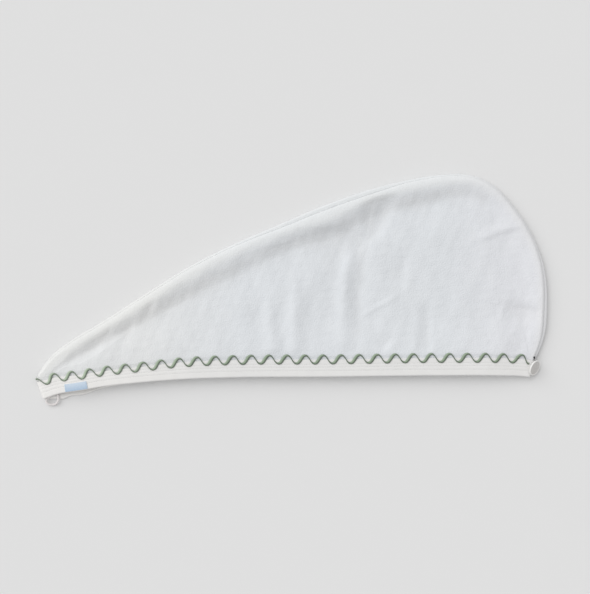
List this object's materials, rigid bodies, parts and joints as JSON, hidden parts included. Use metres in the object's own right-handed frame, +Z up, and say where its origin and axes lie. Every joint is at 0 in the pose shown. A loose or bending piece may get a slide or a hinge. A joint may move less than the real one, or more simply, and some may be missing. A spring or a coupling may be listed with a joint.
{
  "type": "hair towel",
  "caption": "Tapered terry hair towel lying flat, with a bound open side, a wavy ribbon, a button at the wide end and an elastic loop at the narrow end.",
  "frame": {"origin": "centre of the underside's bounding box, on the surface that the towel lies on", "axes": "+X to the wide end, +Y to the top of the seam, +Z up from the surface"},
  "size_m": [0.6542, 0.2954, 0.0188],
  "materials": {
    "terry": "cotton terry",
    "binding": "smooth folded binding",
    "ribbon": "woven wavy ribbon",
    "label": "woven label, blank",
    "button": "satin",
    "elastic": "braided elastic cord"
  },
  "bodies": {
    "root": {"upper_panel": "terry", "lower_panel": "terry", "hem_band": "binding", "wave_trim": "ribbon", "side_label": "label", "button": "button", "button_loop": "elastic"}
  },
  "joints": []
}
